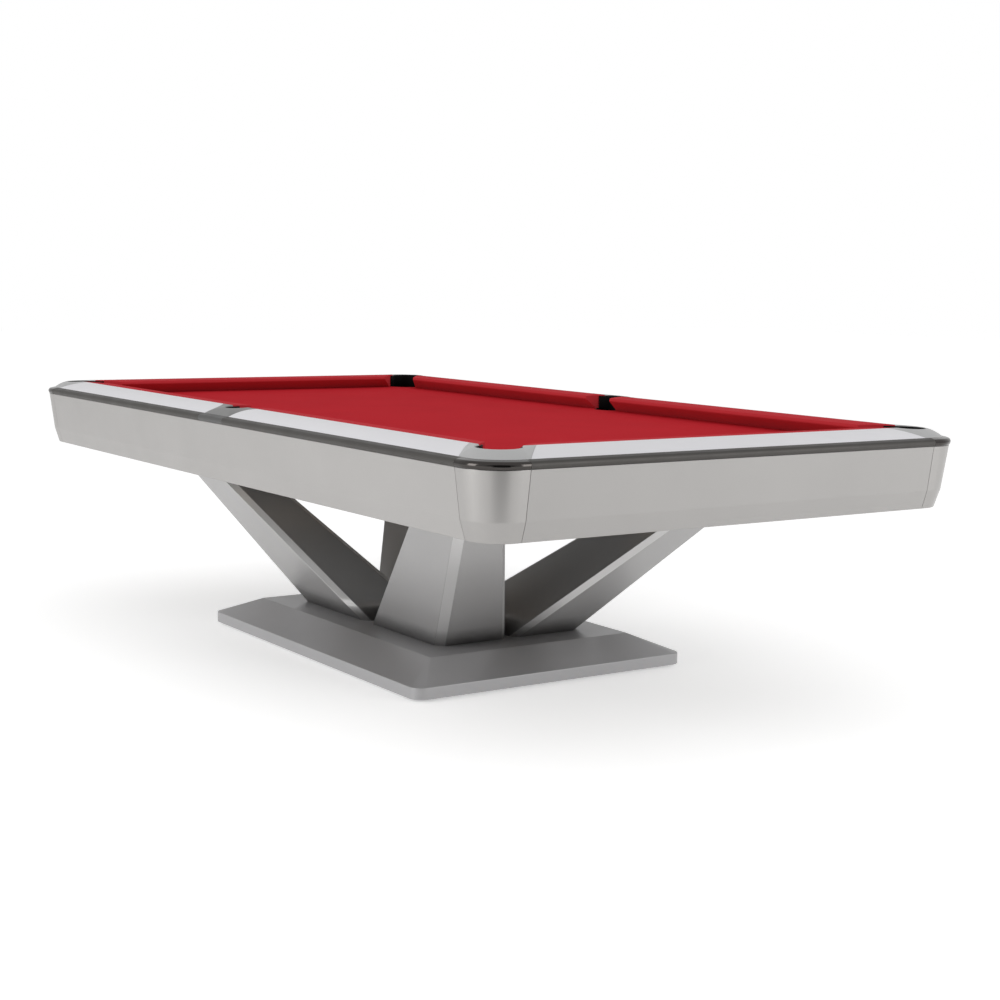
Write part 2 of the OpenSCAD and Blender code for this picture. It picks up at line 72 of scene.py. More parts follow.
HALF_L, HALF_W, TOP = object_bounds()[1]
low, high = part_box("cushion_right_end")
NOSE_IN, FEATHER_IN = HALF_L - low.x, HALF_L - high.x
CORNER_JAW = HALF_W - high.y
low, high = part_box("cushion_front_right")
SIDE_JAW = low.x
low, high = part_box("trim_right_end")
TRIM_IN, TRIM_LOW, TRIM_TOP = HALF_L - low.x, low.z, high.z
SEAM = 0.4 * MM
CASTING_REACH = HALF_W - high.y - SEAM
SIDE_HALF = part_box("trim_front_right")[0].x - SEAM
CORNER_LONG = HALF_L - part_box("corner_casting_front_right")[0].x
low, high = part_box("bed_cloth")
SLATE_TOP, BED, CLOTH_X, CLOTH_Y = low.z, high.z, high.x, high.y
low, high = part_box("apron_right_end")
APRON_LOW, APRON_END_Y = low.z, high.y
APRON_SIDE_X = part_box("apron_front")[1].x
low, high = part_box("liner_side_front")
SIDE_CUP_R = (high.x - low.x) / 2
SIDE_POCKET_IN = HALF_W + low.y + SIDE_CUP_R
CUP_LOW = low.z
PLATE_LOW, PLATE_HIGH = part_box("base_plate")
PAD_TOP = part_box("foot_pad_front_right")[1].z

# ---- sizes of the design that no box gives ----

CORNER_R = 110 * MM
CASTING_STEP = 14 * MM
CORNER_POCKET_IN = 120 * MM
CORNER_CUP_R = 68 * MM
NOTCH_SLIP = 2 * MM
CORNER_CUT, SIDE_CUT = math.radians(42), math.radians(76)
BULLNOSE_R, BULLNOSE_SINK = 11 * MM, 2 * MM
RAIL_CROWN = 3 * MM
FLARE_R, FLARE_TURN = 60 * MM, math.radians(65)
# The cushions' noses above the bed, the front edge of their tops above the noses, and the share of
# their width at which they leave the bed.
NOSE_H, NOSE_CREST, CUSHION_FOOT = 36.5 * MM, 6.5 * MM, 0.45
NOSE_Z = BED + NOSE_H
# The round lip of a casting's hole, how far its rim dips between the jaws, and the power of the
# distance by which its top falls to the outer edge.
LIP_R, RIM_DROP, CASTING_FALL = 4 * MM, 3 * MM, 1.6
LINER_WALL, LINER_SLIP, EAR_REACH = 4 * MM, 0.3 * MM, 22 * MM
CUP_RIM = SLATE_TOP - 0.5 * MM
COLLAR_TOP = TOP - 4 * MM
APRON_TOP_IN, APRON_FOLD_IN, APRON_FOOT_IN = 4 * MM, 21 * MM, 37 * MM
APRON_FOLD_H, APRON_T = 51 * MM, 18 * MM
COVER_LAP = 1.3 * MM
PLATE_R, HIP_R = 38 * MM, 4 * MM
PLATE_EDGE_TOP, HIP_RUN = 42 * MM, 124 * MM
LEG_CHAMFER = 24 * MM
LEG_STEPS, PLATE_STEPS = 5, 15
STUD_PITCH = 2 * MM


# ---- outlines ----


def arc(centre, radius, start, stop, count):
    """Points on a circle about a centre, from one angle to another, in degrees."""
    a = np.radians(np.linspace(start, stop, count))
    return np.stack([centre[0] + radius * np.cos(a), centre[1] + radius * np.sin(a)], axis=1)


def rounded(points, radii, steps=5):
    """A closed outline whose corners are arcs: each arc touches both sides of its corner, so its centre
    lies on the corner's bisector, at the radius over the sine of half the corner's angle."""
    p = np.asarray(points, float)
    r = np.broadcast_to(np.asarray(radii, float), len(p))[:, None]
    back, ahead = np.roll(p, 1, axis=0) - p, np.roll(p, -1, axis=0) - p
    back /= np.linalg.norm(back, axis=1, keepdims=True)
    ahead /= np.linalg.norm(ahead, axis=1, keepdims=True)
    half = np.arccos(np.clip((back * ahead).sum(1, keepdims=True), -1, 1)) / 2
    middle = (back + ahead) / np.maximum(np.linalg.norm(back + ahead, axis=1, keepdims=True), 1e-12)
    centre = p + middle * r / np.sin(half)
    first, last = p + back * r / np.tan(half) - centre, p + ahead * r / np.tan(half) - centre
    turn = np.maximum(np.pi - 2 * half, 1e-6)[:, None, :]
    w = np.linspace(0, 1, steps)[None, :, None]
    spoke = (np.sin((1 - w) * turn) * first[:, None] + np.sin(w * turn) * last[:, None]) / np.sin(turn)
    return (centre[:, None] + spoke).reshape(-1, 2)


def turned(points, radius):
    """A profile for the lathe, its corners rounded except for its two ends, which stay on the axis."""
    return rounded(points, [0] + [radius] * (len(points) - 2) + [0], 4)


def smooth(t):
    """The S-curve 3t^2 - 2t^3, held at 0 and 1 outside its range."""
    t = np.clip(t, 0, 1)
    return t * t * (3 - 2 * t)


def rail_top(inset):
    """Height of the rail tops: a straight rise from the trim to the cushions, plus a parabola's crown."""
    t = np.clip((inset - TRIM_IN) / (FEATHER_IN - TRIM_IN), 0, 1)
    return TRIM_TOP + (TOP - TRIM_TOP) * t + RAIL_CROWN * 4 * t * (1 - t)


def corner_edge(inset):
    """Where a corner casting's top ends along the rail, at an inset: a straight slant that opens out."""
    start = CASTING_REACH + CASTING_STEP
    return start + (CORNER_LONG - start) * (inset - TRIM_IN) / (FEATHER_IN - TRIM_IN)


def side_edge(inset):
    """Where a side casting ends along the rail: level with the trim's end, then an arc that opens out."""
    rise = np.clip(inset - (FEATHER_IN - FLARE_R * math.sin(FLARE_TURN)), 0, FLARE_R)
    return SIDE_HALF + FLARE_R - np.sqrt(FLARE_R**2 - rise**2)


def corner_jaw(inset):
    """Where a cushion's end lies along the rail at a corner pocket, at an inset: a straight cut."""
    return CORNER_JAW + (inset - FEATHER_IN) / math.tan(CORNER_CUT)


def side_jaw(inset):
    """The same at a side pocket."""
    return SIDE_JAW + (inset - FEATHER_IN) / math.tan(SIDE_CUT)


CORNER_HOLE_R = math.hypot(CORNER_JAW - CORNER_POCKET_IN, FEATHER_IN - CORNER_POCKET_IN)
SIDE_HOLE_R = math.hypot(SIDE_JAW, FEATHER_IN - SIDE_POCKET_IN)


# ---- meshes ----


def make_piece(name, points, faces, material, slot, body="table", bevel=0, weighted=True):
    """A mesh piece: doubles merged, faces turned outwards, sharp edges rounded by a bevel, and normals
    weighted by area."""
    mesh = bpy.data.meshes.new(name)
    mesh.from_pydata(np.asarray(points, float).reshape(-1, 3).tolist(), [], faces)
    bm = bmesh.new()
    bm.from_mesh(mesh)
    bmesh.ops.remove_doubles(bm, verts=bm.verts, dist=2e-6)
    bmesh.ops.dissolve_degenerate(bm, dist=1e-6, edges=bm.edges)
    bmesh.ops.recalc_face_normals(bm, faces=bm.faces)
    bm.to_mesh(mesh)
    bm.free()
    mesh.polygons.foreach_set("use_smooth", np.ones(len(mesh.polygons), bool))
    mesh.materials.append(material)
    piece = bpy.data.objects.new(name, mesh)
    bpy.context.scene.collection.objects.link(piece)
    if bevel:
        edge = piece.modifiers.new("rounded_edges", "BEVEL")
        edge.width, edge.segments = bevel, 3
        edge.limit_method, edge.angle_limit = "ANGLE", math.radians(38)
        edge.use_clamp_overlap = True
    if weighted:
        piece.modifiers.new("even_normals", "WEIGHTED_NORMAL").keep_sharp = True
    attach(piece, body)
    return piece


def tube_faces(rows, columns, first=0, caps="flat"):
    """Faces of a grid whose rows are closed outlines: a quad between each two neighbours, and a cap at
    each end, which is one flat face, or a strip of quads where the outline goes out and comes back."""
    i, j = np.meshgrid(np.arange(rows - 1), np.arange(columns), indexing="ij")
    k = (j + 1) % columns
    a, b = first + i * columns, first + (i + 1) * columns
    faces = np.stack([a + j, a + k, b + k, b + j], axis=-1).reshape(-1, 4).tolist()
    last = first + (rows - 1) * columns
    if caps == "flat":
        faces += [list(range(first, first + columns))[::-1], list(range(last, last + columns))]
    if caps == "strip":
        n = np.arange(columns // 2 - 1)
        strip = np.stack([n, n + 1, columns - 2 - n, columns - 1 - n], axis=-1)
        faces += (first + strip).tolist() + (last + strip[:, ::-1]).tolist()
    return faces


def tube(name, grid, material, slot, caps="flat", **options):
    """A closed piece from a grid of points whose rows are closed outlines."""
    rows, columns = grid.shape[:2]
    return make_piece(name, grid, tube_faces(rows, columns, caps=caps), material, slot, **options)


def lathe(name, profile, centre, material, slot, turns=64, **options):
    """A profile of (radius, height) points turned about an upright axis; both ends lie on the axis."""
    a = np.linspace(0, 2 * np.pi, turns, endpoint=False)
    r, z = np.asarray(profile, float).T
    grid = np.stack([centre[0] + r[:, None] * np.cos(a), centre[1] + r[:, None] * np.sin(a),
                     np.broadcast_to(z[:, None], (len(r), turns))], axis=-1)
    return tube(name, grid, material, slot, caps="none", **options)


def front_run(section, start, stop, count):
    """A section carried along the front edge. The start and stop of each section point along X may
    depend on its inset, so the ends can be slanted or curved."""
    t = np.linspace(0, 1, count)[:, None]
    inset, z = section[:, 0], section[:, 1]
    x = start + (stop - start) * t
    return np.stack([x + 0 * inset, -HALF_W + inset + 0 * x, z + 0 * x], axis=-1)


def end_run(section, start, stop, count):
    """The same along the right-hand end, with its start and stop along Y."""
    t = np.linspace(0, 1, count)[:, None]
    inset, z = section[:, 0], section[:, 1]
    y = start + (stop - start) * t
    return np.stack([HALF_L - inset + 0 * y, y + 0 * inset, z + 0 * y], axis=-1)


def corner_run(section, reach, steps=24):
    """A section carried round the front right corner: straight from its reach to the round, a quarter
    circle about the corner's centre, and straight again."""
    a = np.radians(np.linspace(-90, 0, steps))
    normal = np.stack([np.cos(a), np.sin(a)], axis=1)
    centre = np.array([HALF_L - CORNER_R, -HALF_W + CORNER_R])
    base = centre + CORNER_R * normal
    first, last = base[0] - [reach - CORNER_R, 0], base[-1] + [0, reach - CORNER_R]
    base = np.vstack([first, base, last])
    normal = np.vstack([normal[0], normal, normal[-1]])
    plan = base[:, None] - section[None, :, 0, None] * normal[:, None]
    z = np.broadcast_to(section[None, :, 1, None], (*plan.shape[:2], 1))
    return np.concatenate([plan, z], axis=-1)


def placed(grid, sx, sy):
    """The front right corner's points, mirrored to another corner, side or end."""
    return grid * np.array([sx, -sy, 1.0])


# ---- materials ----


class Finish:
    """A material and the nodes that are added to it. Patterns read Object coordinates."""

    def __init__(self, name, roughness=0.5, metallic=0.0, **sockets):
        self.material = bpy.data.materials.new(name)
        self.material.use_nodes = True
        self.nodes, self.links = self.material.node_tree.nodes, self.material.node_tree.links
        self.shader = self.nodes["Principled BSDF"]
        self.shader.inputs["Roughness"].default_value = roughness
        self.shader.inputs["Metallic"].default_value = metallic
        for socket, value in sockets.items():
            self.shader.inputs[socket.replace("_", " ")].default_value = value
        self.place = self.nodes.new("ShaderNodeTexCoord").outputs["Object"]

    def stretched(self, scale):
        """Object coordinates, scaled along each axis."""
        mapping = self.nodes.new("ShaderNodeMapping")
        mapping.inputs["Scale"].default_value = scale
        self.links.new(self.place, mapping.inputs["Vector"])
        return mapping.outputs["Vector"]

    def noise(self, scale, detail=3, roughness=0.5, place=None):
        """Noise with so many cells to a metre."""
        node = self.nodes.new("ShaderNodeTexNoise")
        node.inputs["Scale"].default_value = scale
        node.inputs["Detail"].default_value = detail
        node.inputs["Roughness"].default_value = roughness
        self.links.new(place or self.place, node.inputs["Vector"])
        return node.outputs["Fac"]

    def wave(self, direction, scale, distortion=0.0):
        """Sine stripes across one axis."""
        node = self.nodes.new("ShaderNodeTexWave")
        node.bands_direction = direction
        node.inputs["Scale"].default_value = scale
        node.inputs["Distortion"].default_value = distortion
        self.links.new(self.place, node.inputs["Vector"])
        return node.outputs["Fac"]

    def ramp(self, factor, *stops):
        """A grey or a colour for each value of a factor, from (value, colour) pairs."""
        node = self.nodes.new("ShaderNodeValToRGB")
        while len(node.color_ramp.elements) < len(stops):
            node.color_ramp.elements.new(0.5)
        for element, (place, colour) in zip(node.color_ramp.elements, stops):
            element.position = place
            element.color = (*(colour if hasattr(colour, "__len__") else (colour,) * 3), 1)
        self.links.new(factor, node.inputs["Fac"])
        return node.outputs["Color"]

    def math(self, operation, a, b):
        """Two factors, or a factor and a number, put together."""
        node = self.nodes.new("ShaderNodeMath")
        node.operation = operation
        for socket, value in zip(node.inputs, (a, b)):
            if isinstance(value, (int, float)):
                socket.default_value = value
            else:
                self.links.new(value, socket)
        return node.outputs["Value"]

    def colour(self, output):
        self.links.new(output, self.shader.inputs["Base Color"])
        return self

    def gloss(self, output):
        self.links.new(output, self.shader.inputs["Roughness"])
        return self

    def bump(self, height, distance, strength=1.0):
        node = self.nodes.new("ShaderNodeBump")
        node.inputs["Distance"].default_value = distance
        node.inputs["Strength"].default_value = strength
        self.links.new(height, node.inputs["Height"])
        self.links.new(node.outputs["Normal"], self.shader.inputs["Normal"])
        return self


def shade(colour, factor):
    """A colour made lighter or darker."""
    return tuple(min(1.0, c * factor) for c in colour)


def metallic_paint(name, colour, roughness, metallic, flake=0.06, **sockets):
    """Sprayed metallic paint: fine flakes in its colour, and a faint orange-peel in its gloss."""
    f = Finish(name, roughness, metallic, **sockets)
    flakes = f.noise(2600, 2, 0.7)
    cloudy = f.noise(3.5, 2, 0.4)
    mixed = f.math("ADD", f.math("MULTIPLY", flakes, 0.7), f.math("MULTIPLY", cloudy, 0.3))
    f.colour(f.ramp(mixed, (0.3, shade(colour, 1 - flake)), (0.7, shade(colour, 1 + flake))))
    f.gloss(f.ramp(f.noise(9, 3), (0.3, roughness * 0.93), (0.7, roughness * 1.07)))
    return f.bump(f.noise(420, 2), 0.02 * MM, 0.5).material


def brushed_metal(name, colour, roughness, metallic, **sockets):
    """Drawn or cast metal with a fine grain and slightly uneven gloss."""
    f = Finish(name, roughness, metallic, **sockets)
    grain = f.noise(900, 3, 0.6)
    f.colour(f.ramp(grain, (0.3, shade(colour, 0.94)), (0.7, shade(colour, 1.06))))
    f.gloss(f.ramp(f.noise(14, 3), (0.3, roughness * 0.9), (0.7, roughness * 1.1)))
    return f.bump(grain, 0.02 * MM, 0.4).material


def laminate(name, colour, roughness, **sockets):
    """Pearl laminate: almost even, with a faint cloud and a fine matt grain."""
    f = Finish(name, roughness, **sockets)
    f.colour(f.ramp(f.noise(6, 4), (0.3, shade(colour, 0.985)), (0.7, shade(colour, 1.015))))
    f.gloss(f.ramp(f.noise(40, 3), (0.3, roughness * 0.94), (0.7, roughness * 1.06)))
    return f.bump(f.noise(1500, 2), 0.015 * MM, 0.4).material


def worsted_cloth(name, colour, **sockets):
    """Napless billiard cloth: fine crossed threads under a faint fuzz, and slow clouds of tone."""
    f = Finish(name, 0.92, **sockets)
    weave = f.math("MULTIPLY", f.wave("X", 240, 0.6), f.wave("Y", 240, 0.6))
    fuzz = f.noise(900, 3, 0.6)
    cloud = f.noise(5, 4)
    mixed = f.math("ADD", f.math("MULTIPLY", fuzz, 0.55), f.math("MULTIPLY", cloud, 0.45))
    f.colour(f.ramp(mixed, (0.35, shade(colour, 0.95)), (0.65, shade(colour, 1.05))))
    height = f.math("ADD", f.math("MULTIPLY", weave, 0.7), f.math("MULTIPLY", fuzz, 0.5))
    return f.bump(height, 0.12 * MM, 0.35).material


def slate_stone():
    """Honed slate: blue-grey clouds, thin paler layers and a matt, faintly pitted face."""
    f = Finish("honed_slate", 0.6)
    layers = f.noise(9, 6, 0.65, f.stretched((1, 1, 14)))
    dark, middle, pale = (0.055, 0.062, 0.07), (0.09, 0.1, 0.108), (0.15, 0.155, 0.16)
    f.colour(f.ramp(layers, (0.3, dark), (0.55, middle), (0.75, pale)))
    f.gloss(f.ramp(f.noise(120, 3), (0.3, 0.5), (0.7, 0.7)))
    return f.bump(f.noise(700, 4), 0.08 * MM, 0.4).material


def sawn_timber(name, along):
    """Sawn softwood: growth lines stretched along the beam, and a rough sawn face."""
    f = Finish(name, 0.75)
    lines = f.noise(30, 5, 0.6, f.stretched((0.06, 1, 1) if along == "X" else (1, 0.06, 1)))
    dark, middle, pale = (0.18, 0.13, 0.09), (0.28, 0.215, 0.155), (0.38, 0.31, 0.24)
    f.colour(f.ramp(lines, (0.3, dark), (0.5, middle), (0.72, pale)))
    return f.bump(f.noise(160, 4, 0.6), 0.25 * MM, 0.5).material


def moulded_plastic(name, colour, roughness):
    """Black moulding with a fine eroded texture and little shine."""
    f = Finish(name, roughness, Specular_IOR_Level=0.12)
    f.colour(f.ramp(f.noise(60, 3), (0.3, shade(colour, 0.85)), (0.7, shade(colour, 1.15))))
    f.gloss(f.ramp(f.noise(400, 3), (0.3, roughness * 0.88), (0.7, roughness * 1.12)))
    return f.bump(f.noise(1300, 3), 0.05 * MM, 0.5).material


SILVER = (0.355, 0.345, 0.336)
apron_paint = metallic_paint("silver_paint", SILVER, 0.42, 0.35)
corner_paint = metallic_paint("corner_silver_paint", SILVER, 0.3, 0.85)
leg_paint = metallic_paint("leg_silver_paint", (0.43, 0.425, 0.423), 0.34, 0.5)
# A brighter copy of the legs' silver paint for the flats across their corners: a painted highlight.
painted_highlight_flat_coat = metallic_paint("leg_flats_painted_highlight", (0.66, 0.655, 0.65), 0.3, 0.5)
plate_paint = metallic_paint("plate_silver_paint", (0.375, 0.372, 0.378), 0.38, 0.4)
trim_metal = brushed_metal("gunmetal_trim", (0.058, 0.054, 0.05), 0.5, 0.5)
edge_metal = brushed_metal("polished_gunmetal", (0.058, 0.053, 0.05), 0.13, 0.9)
casting_metal = brushed_metal("satin_silver_casting", (0.48, 0.482, 0.482), 0.36, 0.6)
side_casting_metal = brushed_metal("satin_grey_casting", (0.235, 0.234, 0.232), 0.45, 0.5)
# A darker copy of the side castings' satin grey for their bullnose edges: painted shade.
side_edge_painted_shade = brushed_metal("satin_grey_edge_painted_shade", (0.085, 0.084, 0.083), 0.45, 0.5)
rail_white = laminate("pearl_white_laminate", (0.71, 0.705, 0.73), 0.4)
bed_red = worsted_cloth("red_bed_cloth", (0.49, 0.017, 0.026), Specular_IOR_Level=0.02)
# The cushions' red is the cloth's own. Its paler, greyer tone than the bed's is partly a painted sheen from
# the white surroundings.
cushion_red_and_painted_sheen = worsted_cloth("red_cushion_cloth_and_painted_sheen", (0.52, 0.036, 0.046), Specular_IOR_Level=0.03)
liner_black = moulded_plastic("black_liner_moulding", (0.0035, 0.0025, 0.0027), 0.6)
pad_black = moulded_plastic("black_pad_rubber", (0.02, 0.02, 0.02), 0.65)
zinc = brushed_metal("zinc_plate", (0.45, 0.45, 0.46), 0.35, 1.0)


# ---- floor plate and legs ----


def floor_plate():
    """Rounded rectangles stacked by a profile: an upright edge, a long slope and a raised flat middle,
    with every edge between them turned over a small radius."""
    half = np.array([PLATE_HIGH.x, PLATE_HIGH.y])
    top = PLATE_HIGH.z
    outline = np.array([[2 * HIP_RUN, PLATE_LOW.z], [0, PLATE_LOW.z], [0, PLATE_EDGE_TOP], [HIP_RUN, top],
                        [2 * HIP_RUN, top]])
    profile = rounded(outline, [0, 1.2 * MM, 2.5 * MM, 2.5 * MM, 0], 6)
    inset, z = profile[:, 0], profile[:, 1]
    radius = np.maximum(PLATE_R - inset * (PLATE_R - HIP_R) / HIP_RUN, 1.5 * MM)
    quarter = np.repeat(np.arange(4), PLATE_STEPS)
    turn = (quarter + np.tile(np.linspace(0, 1, PLATE_STEPS), 4)) * np.pi / 2
    spoke = np.stack([np.cos(turn), np.sin(turn)], axis=-1)
    middle = (quarter + 0.5) * np.pi / 2
    side = np.sign(np.stack([np.cos(middle), np.sin(middle)], axis=-1))
    plan = side * (half - inset[:, None, None] - radius[:, None, None]) + radius[:, None, None] * spoke
    grid = np.concatenate([plan, np.broadcast_to(z[:, None, None], (*plan.shape[:2], 1))], axis=-1)
    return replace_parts(tube("floor_plate", grid, plate_paint, "base_lacquer"), "base_plate")


def leg_outline(low_x, high_x, low_y, high_y):
    """A rectangle with flats across its corners, and each arris turned over a small radius."""
    c = LEG_CHAMFER
    corners = [[low_x + c, low_y], [high_x - c, low_y], [high_x, low_y + c], [high_x, high_y - c],
               [high_x - c, high_y], [low_x + c, high_y], [low_x, high_y - c], [low_x, low_y + c]]
    return rounded(corners, 3 * MM, LEG_STEPS)


def leg(name):
    """A leg is lofted straight from its foot's outline to its top's, which the CAD leg's ends give.
    Each flat along its edges has a brighter copy of the leg's paint, a painted highlight: the faces between
    an odd corner and the next."""
    node = "leg_" + name
    points = np.array([v.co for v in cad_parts[node].data.vertices])
    rings = []
    for z in (points[:, 2].min(), points[:, 2].max()):
        ends = points[np.abs(points[:, 2] - z) < 0.1 * MM]
        ring = leg_outline(*np.stack([ends.min(0), ends.max(0)], axis=1)[:2].ravel())
        rings.append(np.c_[ring, np.full(len(ring), z)])
    t = np.linspace(0, 1, 9)[:, None, None]
    grid = rings[0] * (1 - t) + rings[1] * t
    piece = tube(name + "_leg", grid, leg_paint, "leg_lacquer")
    # The flats take the brighter copy of the paint, a painted highlight.
    piece.data.materials.append(painted_highlight_flat_coat)
    column = np.arange(len(piece.data.polygons)) % len(rings[0])
    corner, step = np.divmod(column, LEG_STEPS)
    flat = (corner % 2 == 1) & (step == LEG_STEPS - 1)
    flat[-2:] = False  # the two end caps come last
    piece.data.polygons.foreach_set("material_index", flat.astype(np.int32))
    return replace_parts(piece, node)


# ---- feet ----


def foot_pad(name):
    """A turned pad: a chamfered foot, a groove round its side and the socket in its top."""
    low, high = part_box("foot_pad_" + name)
    centre, r, top = (low + high) / 2, (high.x - low.x) / 2, high.z
    profile = turned([[0, 0], [r - 1 * MM, 0], [r, 1 * MM], [r, 2.6 * MM], [r - 0.8 * MM, 3.1 * MM],
                      [r - 0.8 * MM, 3.9 * MM], [r, 4.4 * MM], [r, top - 1.5 * MM], [r - 4 * MM, top],
                      [5.1 * MM, top], [5.1 * MM, 3 * MM], [0, 3 * MM]], 0.25 * MM)
    piece = lathe(name + "_pad", profile, centre, pad_black, "pad_rubber", body="pad_" + name)
    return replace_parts(piece, "foot_pad_" + name)


def foot_stud(name):
    """A threaded stud. Its radius at each height and angle follows a triangle wave of the height, less
    the share of a pitch that the angle has turned, which is a right-hand thread."""
    low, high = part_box("foot_stud_" + name)
    centre, r = (low + high) / 2, (high.x - low.x) / 2
    a = np.linspace(0, 2 * np.pi, 48, endpoint=False)
    z = np.linspace(PAD_TOP + 0.6 * MM, high.z - 1 * MM, 160)[:, None]
    wave = np.abs(((z / STUD_PITCH - a / (2 * np.pi)) % 1) * 2 - 1)
    radius = r - 1.0 * MM * wave * smooth((high.z - 1 * MM - z) / STUD_PITCH)
    neck = 5 * MM
    ends = np.array([[0, low.z], [neck - 0.5 * MM, low.z], [neck, low.z + 0.5 * MM],
                     [neck, PAD_TOP + 0.4 * MM]])
    tip = np.array([[r - 1 * MM, high.z], [0, high.z]])
    radii = np.vstack([ends[:, :1] + 0 * a, radius, tip[:, :1] + 0 * a])
    heights = np.vstack([ends[:, 1:], z, tip[:, 1:]]) + 0 * a
    grid = np.stack([centre.x + radii * np.cos(a), centre.y + radii * np.sin(a), heights], axis=-1)
    piece = tube(name + "_stud", grid, zinc, "stud_steel", caps="none", body="stud_" + name)
    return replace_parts(piece, "foot_stud_" + name)


# ---- aprons ----


def apron_section():
    """Two facets with a soft fold between them, and the bottom edge rolled over."""
    fold = APRON_LOW + APRON_FOLD_H
    outer = [[APRON_TOP_IN, TRIM_LOW - 0.2 * MM], [APRON_FOLD_IN, fold], [APRON_FOOT_IN, APRON_LOW]]
    inner = [[x + APRON_T, z] for x, z in outer[::-1]]
    return rounded(outer + inner, [1 * MM, 30 * MM, 4 * MM, 2 * MM, 30 * MM, 1 * MM], 7)


def aprons():
    section = apron_section()
    for name, sy in (("front", -1), ("back", 1)):
        grid = placed(front_run(section, -APRON_SIDE_X, APRON_SIDE_X, 13), 1, sy)
        piece = tube(name + "_apron", grid, apron_paint, "apron_silver", bevel=0.4 * MM)
        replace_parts(piece, "apron_" + name)
    for name, sx in (("left_end", -1), ("right_end", 1)):
        grid = placed(end_run(section, -APRON_END_Y, APRON_END_Y, 9), sx, -1)
        piece = tube(name + "_apron", grid, apron_paint, "apron_silver", bevel=0.4 * MM)
        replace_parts(piece, "apron_" + name)
    for name, (sx, sy) in CORNERS.items():
        grid = placed(corner_run(section, CASTING_REACH + COVER_LAP, 32), sx, sy)
        piece = tube(name + "_apron_corner", grid, corner_paint, "corner_silver", bevel=0.4 * MM)
        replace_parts(piece, "apron_corner_" + name)


# ---- trims, rails and cushions ----


def trim_section():
    """The bullnose: most of a circle's front, with a flat underside and back."""
    start = 180 + math.degrees(math.asin(1 - BULLNOSE_SINK / BULLNOSE_R))
    nose = arc((BULLNOSE_R, TRIM_LOW + BULLNOSE_R - BULLNOSE_SINK), BULLNOSE_R, start, 105, 16)
    return np.vstack([[TRIM_IN, TRIM_LOW], nose, [TRIM_IN, TRIM_TOP]])


def trims():
    section = trim_section()
    for end, sx in (("left", -1), ("right", 1)):
        for side, sy in (("front", -1), ("back", 1)):
            grid = placed(front_run(section, SIDE_HALF + SEAM, HALF_L - CASTING_REACH - SEAM, 5), sx, sy)
            piece = tube(f"{side}_{end}_trim", grid, trim_metal, "trim_gunmetal", bevel=0.7 * MM)
            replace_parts(piece, f"trim_{side}_{end}")
        reach = HALF_W - CASTING_REACH - SEAM
        grid = placed(end_run(section, -reach, reach, 5), sx, -1)
        piece = tube(end + "_end_trim", grid, trim_metal, "trim_gunmetal", bevel=0.7 * MM)
        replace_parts(piece, f"trim_{end}_end")


def rail_section():
    """The crowned top and a flat underside, point under point, so that curved ends can be closed."""
    inset = np.linspace(TRIM_IN, FEATHER_IN, 13)
    top = np.c_[inset, rail_top(inset)]
    return np.vstack([top, np.c_[inset[::-1], np.full(len(inset), SLATE_TOP)]])


def rails():
    section = rail_section()
    inset = section[:, 0]
    for end, sx in (("left", -1), ("right", 1)):
        for side, sy in (("front", -1), ("back", 1)):
            start = side_edge(inset) + SEAM
            stop = HALF_L - SEAM - corner_edge(inset)
            grid = placed(front_run(section, start, stop, 9), sx, sy)
            piece = tube(f"{side}_{end}_rail", grid, rail_white, "rail_white", caps="strip", bevel=0.6 * MM)
            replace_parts(piece, f"rail_{side}_{end}")
        reach = HALF_W - SEAM - corner_edge(inset)
        grid = placed(end_run(section, -reach, reach, 9), sx, -1)
        piece = tube(end + "_end_rail", grid, rail_white, "rail_white", caps="strip", bevel=0.6 * MM)
        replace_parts(piece, f"rail_{end}_end")


def cushion_section():
    """Rubber under tight cloth: an almost level top with a slight crown, a front edge that rolls over to
    the nose, and an underside that slants back to the bed."""
    front = NOSE_Z + NOSE_CREST
    back = FEATHER_IN + 0.2 * MM
    middle = (FEATHER_IN + NOSE_IN) / 2
    points = [[back, BED + 0.1 * MM], [back, TOP - 0.4 * MM],
              [middle, (TOP + front) / 2 + 0.6 * MM], [NOSE_IN - 2 * MM, front + 0.3 * MM],
              [NOSE_IN, NOSE_Z], [NOSE_IN, NOSE_Z - 3 * MM], [NOSE_IN - 4 * MM, NOSE_Z - 7 * MM],
              [FEATHER_IN + CUSHION_FOOT * (NOSE_IN - FEATHER_IN), BED + 0.1 * MM]]
    radii = [1.5 * MM, 1.6 * MM, 60 * MM, 2 * MM, 3 * MM, 4 * MM, 4 * MM, 1.5 * MM]
    return rounded(points, radii, 6)


def cushions():
    section = cushion_section()
    inset = section[:, 0]
    for end, sx in (("left", -1), ("right", 1)):
        for side, sy in (("front", -1), ("back", 1)):
            grid = placed(front_run(section, side_jaw(inset), HALF_L - corner_jaw(inset), 25), sx, sy)
            piece = tube(f"{side}_{end}_cushion", grid, cushion_red_and_painted_sheen, "cushion_cloth", bevel=1.4 * MM)
            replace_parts(piece, f"cushion_{side}_{end}")
        reach = HALF_W - corner_jaw(inset)
        grid = placed(end_run(section, -reach, reach, 25), sx, -1)
        piece = tube(end + "_end_cushion", grid, cushion_red_and_painted_sheen, "cushion_cloth", bevel=1.4 * MM)
        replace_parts(piece, f"cushion_{end}_end")


# ---- castings ----


